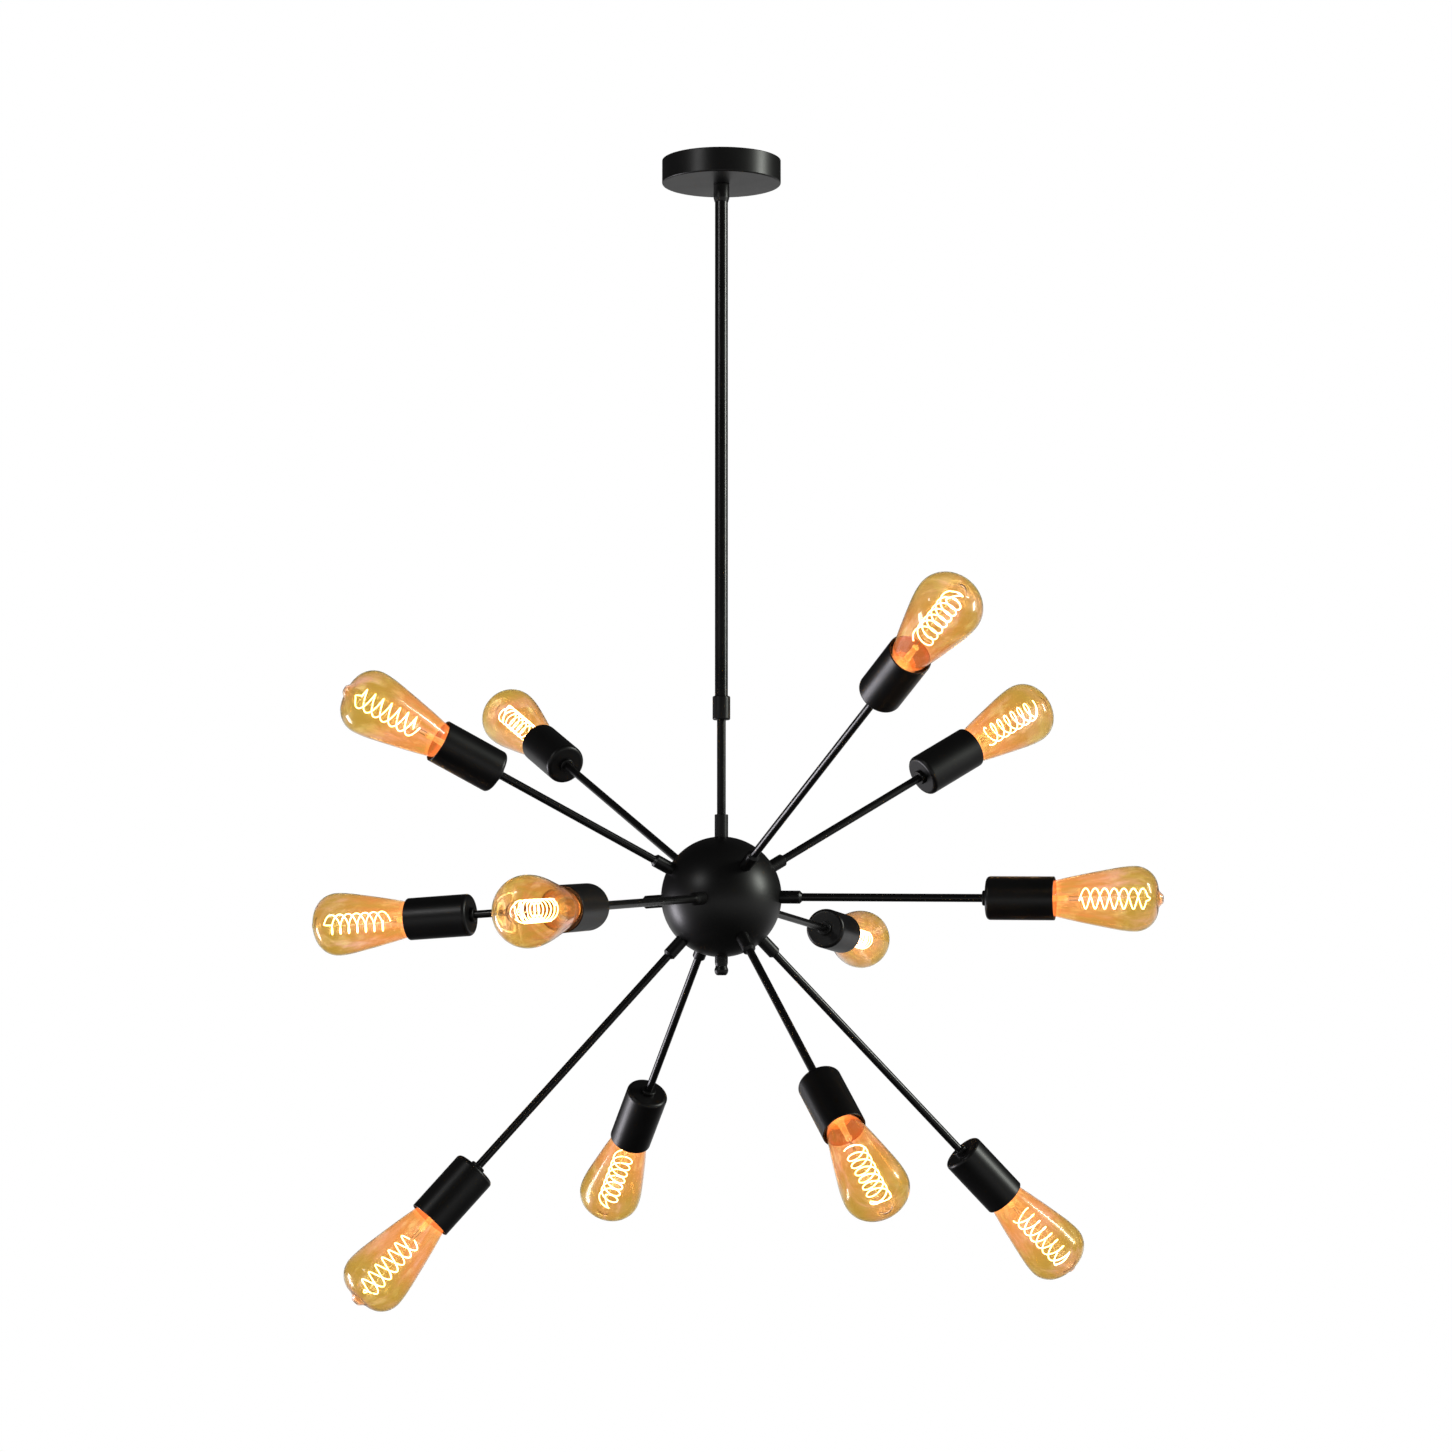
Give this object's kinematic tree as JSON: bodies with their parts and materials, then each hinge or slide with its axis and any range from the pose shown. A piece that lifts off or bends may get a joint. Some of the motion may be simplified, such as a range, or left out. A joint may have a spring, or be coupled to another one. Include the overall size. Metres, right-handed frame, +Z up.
{
  "type": "sputnik chandelier",
  "caption": "Hanging sputnik chandelier: a black ball on a telescopic stem with straight arms in three tiers, each ending in a black lamp cup and an amber tapered bulb.",
  "frame": {"origin": "middle of the ceiling bar's two slots, on the ceiling plane", "axes": "+Z up into the ceiling along the stem, the stem and ball hang along -Z; +X along the ceiling bar; the pictured side faces -Y"},
  "size_m": [0.8511, 1.0194, 1.147],
  "materials": {
    "black_paint": "satin black powder coat",
    "cup_paint": "satin black powder coat",
    "zinc_steel": "zinc plated",
    "green_screw": "green earth screw",
    "dark_screw": "blackened",
    "nylon": "natural nylon",
    "cable_sheath": "matt sheath",
    "holder_black": "moulded phenolic",
    "brass_shell": "plain brass",
    "bulb_brass": "rolled thread brass",
    "vitrite": "black glass insulator",
    "solder": "tinned",
    "amber_glass": "amber tinted clear glass",
    "clear_glass": "clear glass stem",
    "support_wire": "drawn wire",
    "filament": "glowing coated filament"
  },
  "bodies": {
    "ceiling_mount": {"mounting_bar": "zinc_steel", "threaded_nipple": "zinc_steel", "nipple_nuts": "zinc_steel", "ground_screw": "green_screw", "upper_tube": "black_paint", "tube_collar": "black_paint", "tube_set_screw": "dark_screw"},
    "canopy_body": {"canopy": "black_paint", "canopy_collar": "black_paint", "canopy_set_screw": "dark_screw"},
    "slider": {"guide_bush": "nylon"},
    "fixture": {"lower_tube": "black_paint", "ball_sleeve": "black_paint", "ball": "black_paint", "finial": "black_paint", "arm_sleeves": "black_paint", "cup_bosses": "black_paint", "arm_rod_01": "black_paint", "arm_rod_02": "black_paint", "arm_rod_03": "black_paint", "arm_rod_04": "black_paint", "arm_rod_05": "black_paint", "arm_rod_06": "black_paint", "arm_rod_07": "black_paint", "arm_rod_08": "black_paint", "arm_rod_09": "black_paint", "arm_rod_10": "black_paint", "arm_rod_11": "black_paint", "arm_rod_12": "black_paint", "lamp_cups_upper": "cup_paint", "lamp_cups_middle": "cup_paint", "lamp_cups_lower": "cup_paint", "ball_nut": "zinc_steel", "finial_nut": "zinc_steel", "arm_nuts": "zinc_steel", "cup_nuts": "zinc_steel", "crimp_caps": "nylon", "stem_cable": "cable_sheath", "arm_leads": "cable_sheath", "lamp_holders_upper": "holder_black", "lamp_holders_middle": "holder_black", "lamp_holders_lower": "holder_black", "screw_shells": "brass_shell", "centre_contacts": "brass_shell", "bulb_caps_upper": "bulb_brass", "bulb_caps_middle": "bulb_brass", "bulb_caps_lower": "bulb_brass", "bulb_insulators": "vitrite", "bulb_contacts": "solder", "bulb_glass_upper": "amber_glass", "bulb_glass_middle": "amber_glass", "bulb_glass_lower": "amber_glass", "filament_mounts": "clear_glass", "filament_supports": "support_wire", "filaments_upper": "filament", "filaments_middle": "filament", "filaments_lower": "filament"}
  },
  "joints": [
    {"name": "canopy_drop", "type": "slide", "parent": "ceiling_mount", "child": "canopy_body", "axis": [0, 0, -1], "range_m": [0, 0.45]},
    {"name": "height_adjust", "type": "slide", "parent": "ceiling_mount", "child": "slider", "axis": [0, 0, 1], "range_m": [-0.34, 0.09]},
    {"name": "swivel", "type": "hinge", "parent": "slider", "child": "fixture", "pos_m": [0, 0, -0.745], "axis": [0, 0, 1], "range_deg": [-180, 180]}
  ]
}
